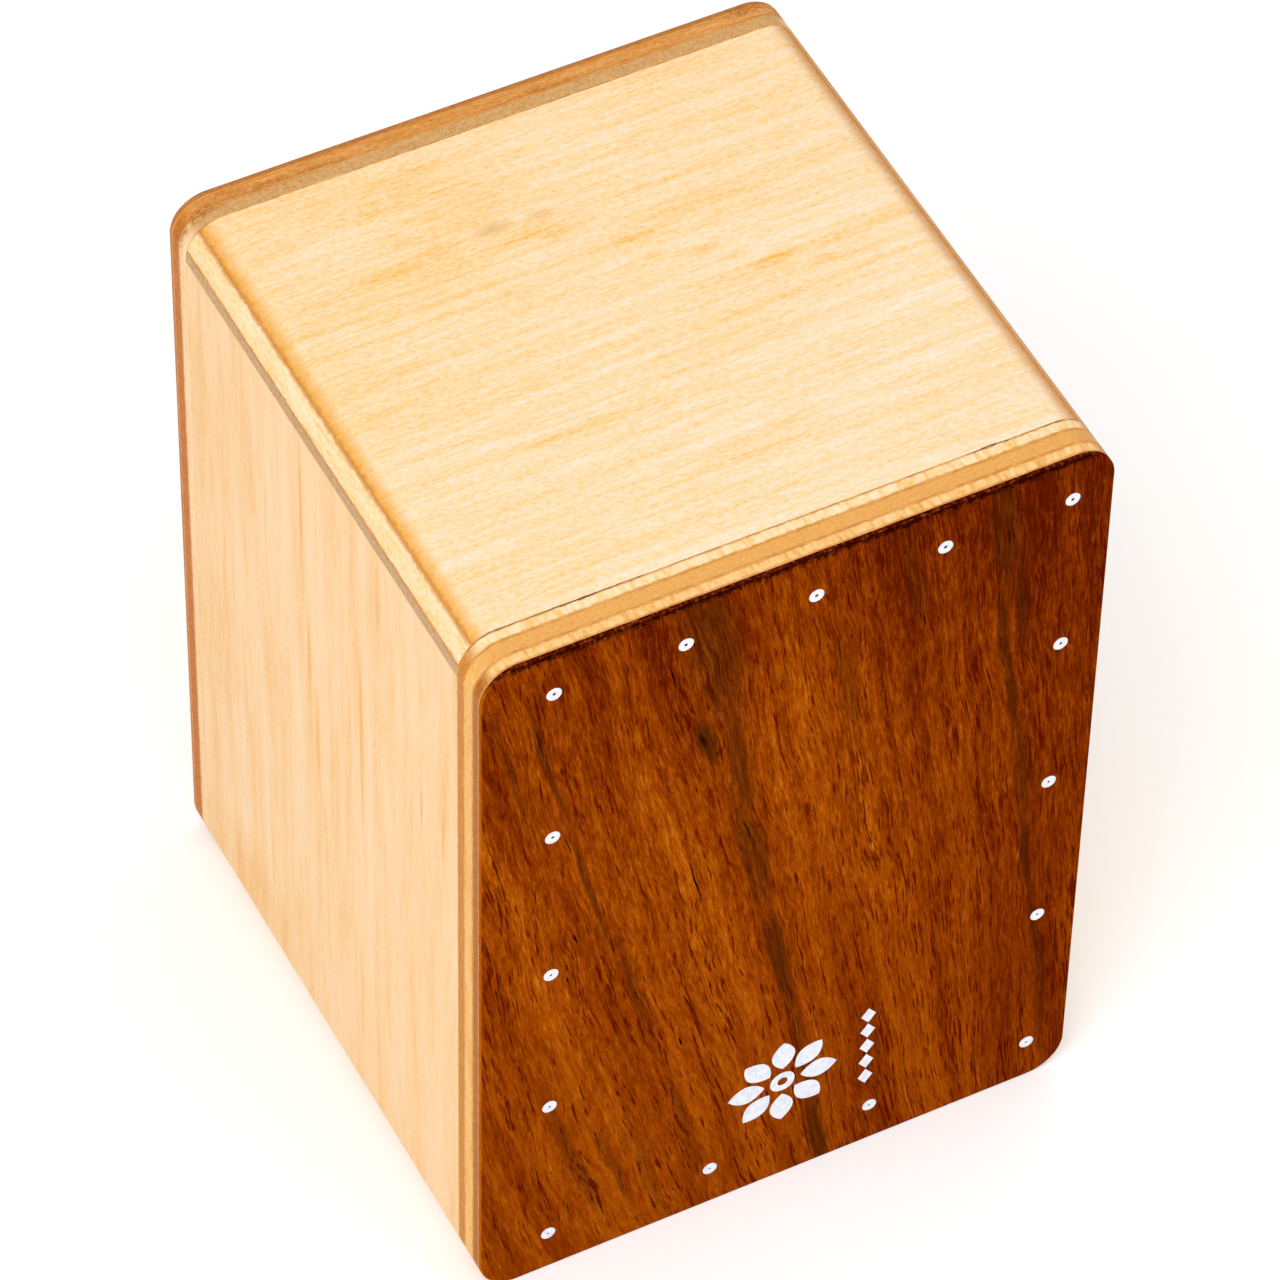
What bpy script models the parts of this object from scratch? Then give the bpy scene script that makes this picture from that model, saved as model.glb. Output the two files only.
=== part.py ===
"""A miniature cajon shaker: a closed box of three-ply board with a walnut face, and loose shot inside.

Metres, +Z up. The box stands on Z = 0, centred on X = 0 and Y = 0, with its walnut face towards -Y.
The top board lies over the ends of the side boards, the bottom board stands between them, and the
front and back boards close the box. Every sheet of wood is its own object. The glued box is rounded
along its four long edges in one pass, so every sheet is cut from an oversize blank by the same
rounded envelope.
"""

import math

import bmesh
import bpy
from mathutils import Vector

# Outside of the finished box
WIDTH = 0.057
DEPTH = 0.0585
HEIGHT = 0.080
LONG_EDGE_RADIUS = 0.0035
LONG_EDGE_SEGMENTS = 14

# Sheets of each board, from the outside in: name and thickness, glue film included
FRONT_SHEETS = (
    ("walnut_veneer", 0.00045),
    ("outer_ply", 0.0011),
    ("core_ply", 0.0016),
    ("inner_ply", 0.0011),
)
BACK_SHEETS = (
    ("outer_ply", 0.0009),
    ("core_ply", 0.0013),
    ("inner_ply", 0.0014),
)
BODY_SHEETS = (
    ("face_ply", 0.0008),
    ("core_ply", 0.0018),
    ("inner_ply", 0.0012),
)
GLUE_FILM = 0.0001
BLANK_OVERSIZE = 0.002

# Loose shot, lying on the bottom board
SHOT_COUNT = 24
SHOT_DIAMETER = 0.004
SHOT_SEGMENTS = 14
SHOT_RINGS = 9
SHOT_REST_GAP = 0.0003
SHOT_SPACING = 0.0040
GOLDEN_ANGLE = math.pi * (3 - math.sqrt(5))

FRONT_THICKNESS = sum(thickness for _, thickness in FRONT_SHEETS)
BACK_THICKNESS = sum(thickness for _, thickness in BACK_SHEETS)
BODY_THICKNESS = sum(thickness for _, thickness in BODY_SHEETS)

# The planes between which the body boards stand
BODY_FRONT = -DEPTH / 2 + FRONT_THICKNESS
BODY_BACK = DEPTH / 2 - BACK_THICKNESS

X, Y, Z = 0, 1, 2

# Colours are linear RGB
WALNUT = ((0.27, 0.075, 0.018), 0.42)
PALE_PLY = ((0.78, 0.52, 0.26), 0.5)
TAN_PLY = ((0.62, 0.36, 0.15), 0.55)
BROWN_PLY = ((0.47, 0.25, 0.11), 0.55)
STEEL = ((0.62, 0.63, 0.65), 0.25)


def clear_scene():
    for obj in list(bpy.data.objects):
        bpy.data.objects.remove(obj, do_unlink=True)


def new_collection(name):
    collection = bpy.data.collections.new(name)
    bpy.context.scene.collection.children.link(collection)
    return collection


def new_material(name, colour_and_roughness, metallic=0.0):
    colour, roughness = colour_and_roughness
    material = bpy.data.materials.new(name)
    material.use_nodes = True
    shader = material.node_tree.nodes["Principled BSDF"]
    shader.inputs["Base Color"].default_value = (*colour, 1.0)
    shader.inputs["Roughness"].default_value = roughness
    shader.inputs["Metallic"].default_value = metallic
    material.diffuse_color = (*colour, 1.0)
    return material


def box_object(name, low, high, collection):
    """A box between two corners, with its origin at its centre and its scale applied."""
    low, high = Vector(low), Vector(high)
    mesh = bpy.data.meshes.new(name)
    shape = bmesh.new()
    bmesh.ops.create_cube(shape, size=1.0)
    bmesh.ops.scale(shape, vec=high - low, verts=shape.verts)
    shape.to_mesh(mesh)
    shape.free()
    obj = bpy.data.objects.new(name, mesh)
    obj.location = (low + high) / 2
    collection.objects.link(obj)
    return obj


def rounded_envelope(collection):
    """The outside of the finished box, longer than the box along Y, with rounded long edges."""
    reach = DEPTH / 2 + BLANK_OVERSIZE
    envelope = box_object(
        "rounded_envelope",
        (-WIDTH / 2, -reach, 0),
        (WIDTH / 2, reach, HEIGHT),
        collection,
    )
    shape = bmesh.new()
    shape.from_mesh(envelope.data)
    long_edges = [e for e in shape.edges if abs((e.verts[0].co - e.verts[1].co).y) > DEPTH]
    bmesh.ops.bevel(
        shape,
        geom=long_edges,
        offset=LONG_EDGE_RADIUS,
        offset_type="OFFSET",
        segments=LONG_EDGE_SEGMENTS,
        profile=0.5,
        affect="EDGES",
        clamp_overlap=True,
    )
    shape.to_mesh(envelope.data)
    shape.free()
    envelope.hide_render = True
    envelope.display_type = "WIRE"
    return envelope


def cut_to_envelope(obj, envelope):
    cut = obj.modifiers.new("round_over", "BOOLEAN")
    cut.operation = "INTERSECT"
    cut.solver = "EXACT"
    cut.object = envelope


def sheet_spans(sheets):
    """Each sheet's name and its depth span below the board's outside, without the glue film."""
    depth = 0.0
    for number, (name, thickness) in enumerate(sheets):
        start = depth + (GLUE_FILM / 2 if number else 0.0)
        depth += thickness
        end = depth - (GLUE_FILM / 2 if number < len(sheets) - 1 else 0.0)
        yield name, start, end


def board(board_name, sheets, axis, side, low, high, materials, parts, envelope, assembly):
    """One board of glued sheets.

    axis and side say which way its outside faces; low and high are the blank's corners, whose span
    along that axis is replaced, sheet by sheet, by the sheet's own place below the outside.
    """
    outside = {X: WIDTH / 2, Y: DEPTH / 2, Z: HEIGHT if side > 0 else 0.0}[axis]
    surface = outside if axis == Z else side * outside
    for number, (name, start, end) in enumerate(sheet_spans(sheets)):
        sheet_low, sheet_high = list(low), list(high)
        # A body board's outermost sheet starts oversize, and the envelope gives it its face
        oversize = BLANK_OVERSIZE if number == 0 and axis != Y else 0.0
        ends = sorted((surface - side * (start - oversize), surface - side * end))
        sheet_low[axis], sheet_high[axis] = ends
        sheet = box_object(f"{board_name}_{name}", sheet_low, sheet_high, parts)
        sheet.data.materials.append(materials[name])
        cut_to_envelope(sheet, envelope)
        sheet.parent = assembly


def make_boards(parts, envelope, assembly):
    walnut = new_material("walnut_veneer", WALNUT)
    pale = new_material("pale_ply", PALE_PLY)
    tan = new_material("tan_ply", TAN_PLY)
    brown = new_material("brown_ply", BROWN_PLY)
    materials = {
        "walnut_veneer": walnut,
        "face_ply": pale,
        "outer_ply": pale,
        "core_ply": tan,
        "inner_ply": brown,
    }

    over_x = WIDTH / 2 + BLANK_OVERSIZE
    plate_low = (-over_x, 0, -BLANK_OVERSIZE)
    plate_high = (over_x, 0, HEIGHT + BLANK_OVERSIZE)
    shared = (materials, parts, envelope, assembly)
    board("front", FRONT_SHEETS, Y, -1, plate_low, plate_high, *shared)
    board("back", BACK_SHEETS, Y, 1, plate_low, plate_high, *shared)

    body_low_y = BODY_FRONT + GLUE_FILM
    body_high_y = BODY_BACK - GLUE_FILM
    top_low = (-over_x, body_low_y, 0)
    top_high = (over_x, body_high_y, 0)
    board("top", BODY_SHEETS, Z, 1, top_low, top_high, *shared)

    side_low = (0, body_low_y, -BLANK_OVERSIZE)
    side_high = (0, body_high_y, HEIGHT - BODY_THICKNESS - GLUE_FILM)
    board("left_side", BODY_SHEETS, X, -1, side_low, side_high, *shared)
    board("right_side", BODY_SHEETS, X, 1, side_low, side_high, *shared)

    between_x = WIDTH / 2 - BODY_THICKNESS - GLUE_FILM
    bottom_low = (-between_x, body_low_y, 0)
    bottom_high = (between_x, body_high_y, 0)
    board("bottom", BODY_SHEETS, Z, -1, bottom_low, bottom_high, *shared)


def make_shot(parts, assembly):
    """Balls in a sunflower pattern, so that each keeps clear of its neighbours."""
    steel = new_material("steel_shot", STEEL, metallic=1.0)
    mesh = bpy.data.meshes.new("shot_ball")
    shape = bmesh.new()
    bmesh.ops.create_uvsphere(
        shape, u_segments=SHOT_SEGMENTS, v_segments=SHOT_RINGS, radius=SHOT_DIAMETER / 2
    )
    shape.to_mesh(mesh)
    shape.free()
    mesh.shade_smooth()
    mesh.materials.append(steel)
    rest_height = BODY_THICKNESS + SHOT_REST_GAP + SHOT_DIAMETER / 2
    middle = (BODY_FRONT + BODY_BACK) / 2
    for number in range(SHOT_COUNT):
        reach = SHOT_SPACING * math.sqrt(number + 0.5)
        angle = number * GOLDEN_ANGLE
        ball = bpy.data.objects.new(f"shot_{number + 1:02d}", mesh)
        ball.location = (
            reach * math.cos(angle),
            middle + reach * math.sin(angle),
            rest_height,
        )
        ball.parent = assembly
        parts.objects.link(ball)


def main():
    clear_scene()
    parts = new_collection("miniature_cajon")
    cutters = new_collection("cutters")
    assembly = bpy.data.objects.new("miniature_cajon", None)
    parts.objects.link(assembly)
    envelope = rounded_envelope(cutters)
    make_boards(parts, envelope, assembly)
    make_shot(parts, assembly)


main()
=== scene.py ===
"""Looks of the miniature cajon shaker.

Every CAD sheet is replaced by a finer one with a rounder section, eased outer edges and its own wood,
and the gaps between the sheets are filled with thin, uneven films of glue. The walnut face carries
printed dots and a plain rosette in white ink, and the loose shot gets finely rounded steel balls.
"""

import math

import bmesh
import bpy
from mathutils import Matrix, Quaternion, Vector, noise


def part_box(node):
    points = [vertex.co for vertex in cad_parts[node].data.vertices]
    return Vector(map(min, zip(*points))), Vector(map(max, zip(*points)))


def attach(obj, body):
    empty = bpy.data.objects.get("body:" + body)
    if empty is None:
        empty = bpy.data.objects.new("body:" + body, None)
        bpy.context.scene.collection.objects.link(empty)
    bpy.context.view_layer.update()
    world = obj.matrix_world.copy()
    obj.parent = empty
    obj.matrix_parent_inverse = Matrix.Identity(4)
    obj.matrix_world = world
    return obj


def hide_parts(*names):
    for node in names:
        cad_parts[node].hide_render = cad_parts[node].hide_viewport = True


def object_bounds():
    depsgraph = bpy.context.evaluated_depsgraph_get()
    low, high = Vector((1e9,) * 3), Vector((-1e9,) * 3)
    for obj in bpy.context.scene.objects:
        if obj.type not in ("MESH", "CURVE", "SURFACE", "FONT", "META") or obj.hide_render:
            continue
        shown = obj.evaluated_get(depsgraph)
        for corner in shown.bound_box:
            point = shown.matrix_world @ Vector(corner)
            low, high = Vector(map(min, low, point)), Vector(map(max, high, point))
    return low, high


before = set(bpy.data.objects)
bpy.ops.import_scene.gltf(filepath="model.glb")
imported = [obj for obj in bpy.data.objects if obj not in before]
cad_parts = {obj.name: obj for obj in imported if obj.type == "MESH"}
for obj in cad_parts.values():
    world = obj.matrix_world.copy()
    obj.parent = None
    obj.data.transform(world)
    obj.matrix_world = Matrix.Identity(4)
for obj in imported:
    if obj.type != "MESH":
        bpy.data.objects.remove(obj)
CAD_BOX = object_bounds()

MM = 0.001
LOW, HIGH = CAD_BOX
X, Y, Z = 0, 1, 2

# Shape of the finished box, as the CAD makes it, and the finer steps of its round edges
LONG_EDGE_RADIUS = 3.5 * MM
ARC_STEPS = 28
FRONT_ARRIS = 0.14 * MM
BACK_ARRIS = 0.6 * MM
ARRIS_SEGMENTS = 4
SMOOTH_ANGLE = math.radians(35)
ON_PLANE = 0.001 * MM

# How brightly the lights fall on the faces towards the camera
LIGHT_LEVEL = 1.18

# Boards and their sheets, from the outside in; a board faces along its axis, on its side
BOARDS = {
    "front": (Y, -1, ("walnut_veneer", "outer_ply", "core_ply", "inner_ply")),
    "back": (Y, 1, ("outer_ply", "core_ply", "inner_ply")),
    "top": (Z, 1, ("face_ply", "core_ply", "inner_ply")),
    "bottom": (Z, -1, ("face_ply", "core_ply", "inner_ply")),
    "left_side": (X, -1, ("face_ply", "core_ply", "inner_ply")),
    "right_side": (X, 1, ("face_ply", "core_ply", "inner_ply")),
}

# The way the wood's fibres run in each sheet: crosswise from sheet to sheet, as in all ply
FIBRES = {
    "front": (Z, X, Z, X),
    "back": (Z, X, Z),
    "top": (X, Y, X),
    "bottom": (X, Y, X),
    "left_side": (Z, Y, Z),
    "right_side": (Z, Y, Z),
}


# ---------------------------------------------------------------- shapes


def section_outline(recess, spacing):
    """Points (x, z) round the box's rounded section, with extra points along its straight stretches."""
    radius = LONG_EDGE_RADIUS
    centres = (
        (HIGH.x - radius, HIGH.z - radius),
        (LOW.x + radius, HIGH.z - radius),
        (LOW.x + radius, LOW.z + radius),
        (HIGH.x - radius, LOW.z + radius),
    )
    corners = []
    for quarter, (x, z) in enumerate(centres):
        for step in range(ARC_STEPS + 1):
            angle = (quarter + step / ARC_STEPS) * math.pi / 2
            reach = radius - recess
            corners.append(Vector((x + reach * math.cos(angle), z + reach * math.sin(angle))))
    points = []
    for here, after in zip(corners, corners[1:] + corners[:1]):
        count = max(1, math.ceil((after - here).length / spacing))
        points.extend(here.lerp(after, step / count) for step in range(count))
    return points


def prism(low, high, recess=0.0, spacing=1.0):
    """The part of the rounded box between two corners, as a closed prism along Y."""
    shape = bmesh.new()
    rim = [shape.verts.new((x, low.y, z)) for x, z in section_outline(recess, spacing)]
    shape.faces.new(rim)
    for axis in (X, Z):
        for corner, side in ((low, -1), (high, 1)):
            normal = Vector((0, 0, 0))
            normal[axis] = side
            bmesh.ops.bisect_plane(
                shape,
                geom=shape.verts[:] + shape.edges[:] + shape.faces[:],
                dist=ON_PLANE,
                plane_co=corner,
                plane_no=normal,
                clear_outer=True,
            )
    far = bmesh.ops.extrude_face_region(shape, geom=shape.faces[:])["geom"]
    far_verts = [item for item in far if isinstance(item, bmesh.types.BMVert)]
    bmesh.ops.translate(shape, vec=(0, high.y - low.y, 0), verts=far_verts)
    bmesh.ops.recalc_face_normals(shape, faces=shape.faces[:])
    return shape


def ease_rim(shape, y, width):
    """Rounds over the rim that lies in the plane at y."""
    rim = [edge for edge in shape.edges if all(abs(end.co.y - y) < ON_PLANE for end in edge.verts)]
    bmesh.ops.bevel(
        shape,
        geom=rim,
        offset=width,
        offset_type="OFFSET",
        segments=ARRIS_SEGMENTS,
        profile=0.5,
        affect="EDGES",
        clamp_overlap=True,
    )


def placed(name, shape, material):
    """Turns a bmesh into an object of the scene."""
    mesh = bpy.data.meshes.new(name)
    shape.to_mesh(mesh)
    shape.free()
    mesh.materials.append(material)
    piece = bpy.data.objects.new(name, mesh)
    bpy.context.scene.collection.objects.link(piece)
    return piece


def finished(name, shape, material):
    """Turns a bmesh into an object that rides on the box, smooth on its round stretches only."""
    piece = placed(name, shape, material)
    piece.data.shade_smooth()
    piece.data.set_sharp_from_angle(angle=SMOOTH_ANGLE)
    weighted = piece.modifiers.new("flat_faces_stay_flat", "WEIGHTED_NORMAL")
    weighted.keep_sharp = True
    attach(piece, "box")
    return piece


# ---------------------------------------------------------------- material nodes


def seen_as(red, green, blue):
    """The linear RGBA of a surface that, under this scene's lights, looks like a colour on screen."""

    def one(level):
        level /= 255
        return (level / 12.92 if level <= 0.04045 else ((level + 0.055) / 1.055) ** 2.4) / LIGHT_LEVEL

    return (one(red), one(green), one(blue), 1.0)


class Nodes:
    """Short calls that add the nodes of one material."""

    def __init__(self, name):
        self.material = bpy.data.materials.new(name)
        self.material.use_nodes = True
        self.tree = self.material.node_tree
        self.shader = self.tree.nodes["Principled BSDF"]
        coordinates = self.add("TexCoord", {}).outputs
        self.normal = self.split(coordinates["Normal"])
        # The point on the piece, in millimetres
        self.place = self.vector("SCALE", coordinates["Object"], scale=1 / MM)
        self.at = self.split(self.place)

    def feed(self, socket, value):
        if isinstance(value, bpy.types.NodeSocket):
            self.tree.links.new(value, socket)
        else:
            socket.default_value = value

    def add(self, kind, inputs, **settings):
        made = self.tree.nodes.new("ShaderNode" + kind)
        for name, value in settings.items():
            setattr(made, name, value)
        for key, value in inputs.items():
            self.feed(made.inputs[key], value)
        return made

    def math(self, operation, first, second=0.0):
        return self.add("Math", {0: first, 1: second}, operation=operation).outputs[0]

    def vector(self, operation, first, second=(0, 0, 0), scale=1.0, output=0):
        inputs = {0: first, 1: second, 3: scale}
        return self.add("VectorMath", inputs, operation=operation).outputs[output]

    def split(self, vector):
        return self.add("SeparateXYZ", {0: vector}).outputs

    def join(self, x, y, z):
        return self.add("CombineXYZ", {0: x, 1: y, 2: z}).outputs[0]

    def rise(self, value, start, end, top=1.0):
        """0 before start, top after end, and smooth between them; start may be above end."""
        inputs = {"Value": value, "From Min": start, "From Max": end, "To Max": top}
        return self.add("MapRange", inputs, interpolation_type="SMOOTHSTEP").outputs[0]

    def scaled(self, value, factor, offset=0.0):
        inputs = {0: value, 1: factor, 2: offset}
        return self.add("Math", inputs, operation="MULTIPLY_ADD").outputs[0]

    def mix(self, share, first, second):
        inputs = {0: share, 6: first, 7: second}
        return self.add("Mix", inputs, data_type="RGBA").outputs[2]

    def ramp(self, value, colours):
        """Evenly spaced colours along a value from 0 to 1."""
        made = self.add("ValToRGB", {0: value})
        stops = made.color_ramp.elements
        while len(stops) < len(colours):
            stops.new(0.5)
        for number, colour in enumerate(colours):
            stops[number].position = number / (len(colours) - 1)
            stops[number].color = seen_as(*colour)
        return made.outputs[0]

    def noise(self, point, sizes, seed=0.0, detail=2.0, roughness=0.5):
        """Noise about 0.5, with spots of the given sizes along X, Y and Z."""
        moved = self.vector("ADD", point, (seed * 17.3, seed * 9.1, seed * 5.7))
        stretched = self.vector("DIVIDE", moved, sizes)
        inputs = {"Vector": stretched, "Scale": 1.0, "Detail": detail, "Roughness": roughness}
        return self.add("TexNoise", inputs, noise_dimensions="3D").outputs[0]

    def spots(self, point, listed, core=0.0):
        """The strongest of several soft spots, each a (centre, half sizes, strength).

        A spot keeps its full strength out to core times its half sizes.
        """
        strongest = None
        for centre, reach, strength in listed:
            away = self.vector("DIVIDE", self.vector("SUBTRACT", point, centre), reach)
            spot = self.rise(self.vector("LENGTH", away, output=1), 1.0, core, strength)
            strongest = spot if strongest is None else self.math("MAXIMUM", strongest, spot)
        return strongest

    def facing(self, axis, start, end):
        """How far the surface faces along an axis, 0 to 1, either way."""
        return self.rise(self.math("ABSOLUTE", self.normal[axis]), start, end)

    def distance(self, axis, plane, ragged, spread):
        """Millimetres to a plane across an axis, made uneven by up to half the spread."""
        away = self.math("ABSOLUTE", self.math("SUBTRACT", self.at[axis], plane))
        return self.math("ADD", away, self.scaled(ragged, spread, -spread / 2))

    def bump(self, height, depth):
        """Height 0 to 1 as a relief that is depth metres deep."""
        made = self.add("Bump", {"Height": height, "Distance": depth, "Strength": 1.0})
        self.feed(self.shader.inputs["Normal"], made.outputs[0])

    def finish(self, colour, roughness, specular):
        self.feed(self.shader.inputs["Base Color"], colour)
        self.feed(self.shader.inputs["Roughness"], roughness)
        self.shader.inputs["Specular IOR Level"].default_value = specular
        return self.material


def along(fibre, length, width):
    """Sizes of spots that are length mm long along the fibres and width mm across."""
    sizes = [width] * 3
    sizes[fibre] = length
    return tuple(sizes)


# ---------------------------------------------------------------- woods

# How deep the grain's relief is, and how far a rounding must face another way to begin, and to
# finish, looking like that side
GRAIN_RELIEF = 0.02 * MM
FACING_HALF_WAY = (0.3, 0.7)

# Screen colours, from pale to deep, of what a sheet shows: its face, the edges that run along its
# fibres, and the ends that are cut across them
TOP_FACE = ((255, 239, 228), (252, 218, 169), (243, 184, 74))
SIDE_FACE = ((252, 221, 185), (249, 207, 154), (240, 180, 100))
PALE_EDGE = ((255, 234, 200), (252, 216, 162), (244, 186, 92))
AMBER_EDGE = ((252, 216, 162), (245, 194, 122), (228, 158, 62))
GOLD_EDGE = ((248, 206, 134), (241, 182, 98), (224, 152, 54))
RED_EDGE = ((236, 180, 114), (220, 150, 74), (190, 108, 32))
GOLD_END = ((246, 190, 100), (238, 172, 78), (222, 150, 56))
TAN_END = ((240, 182, 104), (232, 168, 90), (220, 150, 70))
BROWN_END = ((226, 154, 66), (206, 130, 36), (180, 102, 14))
BARK_END = ((196, 124, 50), (176, 102, 26), (148, 76, 10))
CLAY_END = ((224, 182, 132), (210, 160, 98), (186, 128, 62))
GREY_END = ((216, 180, 140), (198, 158, 112), (170, 128, 82))
DARK_END = ((220, 146, 62), (194, 108, 16), (166, 84, 4))
# Deeper wood with painted shade, for the right of the core plies and of the top's cut ends
DEEPER_WOOD_AND_SHADE_EDGE = ((234, 184, 124), (219, 157, 90), (202, 134, 62))
BURNT_EDGE = ((208, 146, 80), (190, 118, 52), (168, 92, 28))
GLUE_TINT = (208, 134, 52)
KNOT_BROWN = (214, 152, 66)
GAP_BROWN = (120, 72, 26)
GAP_SHADOW = (88, 52, 22)
VOID_BROWN = (164, 88, 20)

# Face, edge and end of the sheets that show; the others look like the last entry
LOOKS = {
    "front_outer_ply": (AMBER_EDGE, AMBER_EDGE, BARK_END),
    "front_core_ply": (GOLD_EDGE, GOLD_EDGE, TAN_END),
    "front_inner_ply": (PALE_EDGE, PALE_EDGE, BROWN_END),
    "back_outer_ply": (SIDE_FACE, BURNT_EDGE, BURNT_EDGE),
    "back_core_ply": (RED_EDGE, RED_EDGE, DARK_END),
    "back_inner_ply": (SIDE_FACE, SIDE_FACE, CLAY_END),
    "top_face_ply": (TOP_FACE, TOP_FACE, GOLD_END),
    "top_core_ply": (PALE_EDGE, PALE_EDGE, TAN_END),
    "top_inner_ply": (PALE_EDGE, PALE_EDGE, GREY_END),
    "left_side_face_ply": (SIDE_FACE, SIDE_FACE, TAN_END),
    "right_side_face_ply": (SIDE_FACE, SIDE_FACE, TAN_END),
    "bottom_face_ply": (SIDE_FACE, SIDE_FACE, TAN_END),
    "hidden": (PALE_EDGE, PALE_EDGE, TAN_END),
}

# How much a surface must face along the fibres to show cut ends, as (start, full): in the front and
# back boards, and in the outermost sheets of the others
PLATE_END_FACING = (0.5, 0.9)
FACE_SHEET_END_FACING = (0.17, 0.62)

# How the top's face sheet darkens per mm towards the back and towards the left: painted shade, as the
# light on the top falls off that way
TOP_PAINTED_SHADE_SLOPES = ((Y, 0.0022), (X, -0.0012))

# The core plies of the top and the front, and the cut ends of the top's face sheet, turn darker from one
# X to another, partly as deeper wood and partly as painted shade on the right, which turns from the
# light: (start, full, strength)
DEEPER_WOOD_AND_SHADE_RIGHT = {
    "top": (-5.0, 5.0, 1.0),
    "front": (6.0, 28.0, 0.8),
}

# Streaks and specks of the sheets: how wide the widest streak is in mm, how many times longer than
# wide the streaks are, their contrast, how rough they are down to single fibres, and the specks'
# contrast
GRAINS = {
    "top": (1.4, 20, 1.4, 0.9, 0.8),
    "inner": (1.0, 9, 2.0, 0.95, 1.0),
    "outermost": (2.8, 11, 1.7, 0.8, 0.4),
}

# Stretches where the front joint gapes, along X, and how dark they are
JOINT_GAPS = (
    ((-17.5, -25.0, 80.0), (6.6, 0.7, 2.0), 1.0),
    ((-25.0, -25.0, 79.5), (4.0, 0.7, 3.0), 0.55),
    ((-12.4, -25.0, 80.0), (0.5, 0.7, 2.0), 0.8),
    ((19.6, -25.0, 80.0), (4.6, 0.7, 2.0), 1.0),
    ((25.6, -25.0, 79.5), (3.0, 0.7, 3.0), 0.6),
)

# Knots, mineral stains and broad yellow areas of the top: darker spots in its tone
TOP_STAINS = (
    ((-9.0, 19.5, 80.0), (11.0, 7.0, 9.0), 0.17),
    ((-12.0, 13.8, 80.0), (9.0, 1.4, 9.0), 0.16),
    ((-3.5, 13.4, 80.0), (5.0, 1.6, 9.0), 0.22),
    ((-1.5, 11.3, 80.0), (3.0, 1.3, 9.0), 0.2),
    ((4.5, 8.4, 80.0), (4.5, 1.0, 9.0), 0.22),
    ((5.0, 6.2, 80.0), (2.5, 1.0, 9.0), 0.2),
    ((8.5, 4.6, 80.0), (3.2, 1.0, 9.0), 0.24),
    ((10.5, 2.9, 80.0), (2.2, 0.9, 9.0), 0.22),
    ((13.2, 1.2, 80.0), (3.0, 0.9, 9.0), 0.24),
    ((17.0, -0.5, 80.0), (2.6, 0.7, 9.0), 0.2),
    ((-8.0, -9.5, 80.0), (9.0, 2.4, 9.0), 0.1),
)
TOP_KNOTS = (
    ((-5.8, 14.5, 80.0), (2.6, 1.1, 9.0), 0.5),
    ((-1.4, 14.2, 80.0), (1.9, 1.0, 9.0), 0.32),
)

# Dark rings of the left side's face, upright, each bending a little on its way down; the last two entries
# are broad patches that make the side darker towards the back
SIDE_RINGS = (
    ((-28.0, 4.0, 68.0), (9.0, 0.45, 14.0), 0.34),
    ((-28.0, 3.0, 51.0), (9.0, 0.5, 9.0), 0.26),
    ((-28.0, 1.7, 41.0), (9.0, 0.5, 8.0), 0.26),
    ((-28.0, 0.4, 26.0), (9.0, 0.6, 14.0), 0.16),
    ((-28.0, -7.0, 50.0), (9.0, 0.55, 17.0), 0.32),
    ((-28.0, -4.8, 48.0), (9.0, 0.3, 8.0), 0.26),
    ((-28.0, -10.4, 69.0), (9.0, 1.0, 9.0), 0.22),
    ((-28.0, -18.3, 53.0), (9.0, 0.3, 5.0), 0.42),
    ((-28.0, -16.4, 50.0), (9.0, 0.22, 12.0), 0.28),
    ((-28.0, -22.3, 53.0), (9.0, 0.25, 5.0), 0.34),
    ((-28.0, 11.1, 60.0), (9.0, 0.5, 20.0), 0.16),
    ((-28.0, 11.6, 14.0), (9.0, 0.6, 12.0), 0.2),
    ((-28.0, -6.3, 14.0), (9.0, 0.5, 12.0), 0.2),
    ((-28.0, 23.0, 62.0), (9.0, 5.0, 18.0), 0.14),
    ((-28.0, 16.0, 6.0), (9.0, 10.0, 10.0), 0.2),
)

# Voids and stained patches of the back board's upper edge
BACK_PATCHES = (
    ((24.6, 28.3, 79.0), (3.0, 1.2, 3.0), 1.0),
    ((-26.0, 27.0, 79.0), (2.8, 1.0, 2.6), 1.0),
    ((-27.6, 27.1, 77.4), (2.0, 1.2, 3.6), 1.0),
    ((-19.0, 27.3, 79.8), (9.0, 0.6, 2.0), 0.75),
    ((-24.0, 28.0, 79.2), (4.0, 0.6, 2.4), 0.6),
    ((4.0, 27.2, 79.8), (9.0, 0.4, 2.0), 0.5),
)


def fibre_axis(board, sheet):
    """The axis along which a sheet's fibres run."""
    return FIBRES[board][BOARDS[board][2].index(sheet)]


def is_outermost(board, sheet):
    return BOARDS[board][2][0] == sheet


def grain_of(nodes, board, sheet, seed):
    """Streaks from a few millimetres wide down to single fibres, short specks, and the tone of both."""
    fibre = fibre_axis(board, sheet)
    kind = "inner"
    if is_outermost(board, sheet):
        kind = "top" if board == "top" else "outermost"
    width, stretch, contrast, rough, speckle = GRAINS[kind]
    sizes = along(fibre, width * stretch, width)
    streaks = nodes.noise(nodes.place, sizes, seed, detail=5, roughness=rough)
    specks = nodes.noise(nodes.place, along(fibre, 0.5, 0.17), seed, detail=1)
    tone = nodes.scaled(streaks, contrast, 0.5 - contrast / 2)
    tone = nodes.math("ADD", tone, nodes.scaled(specks, speckle, -speckle / 2))
    return streaks, specks, tone


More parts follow.
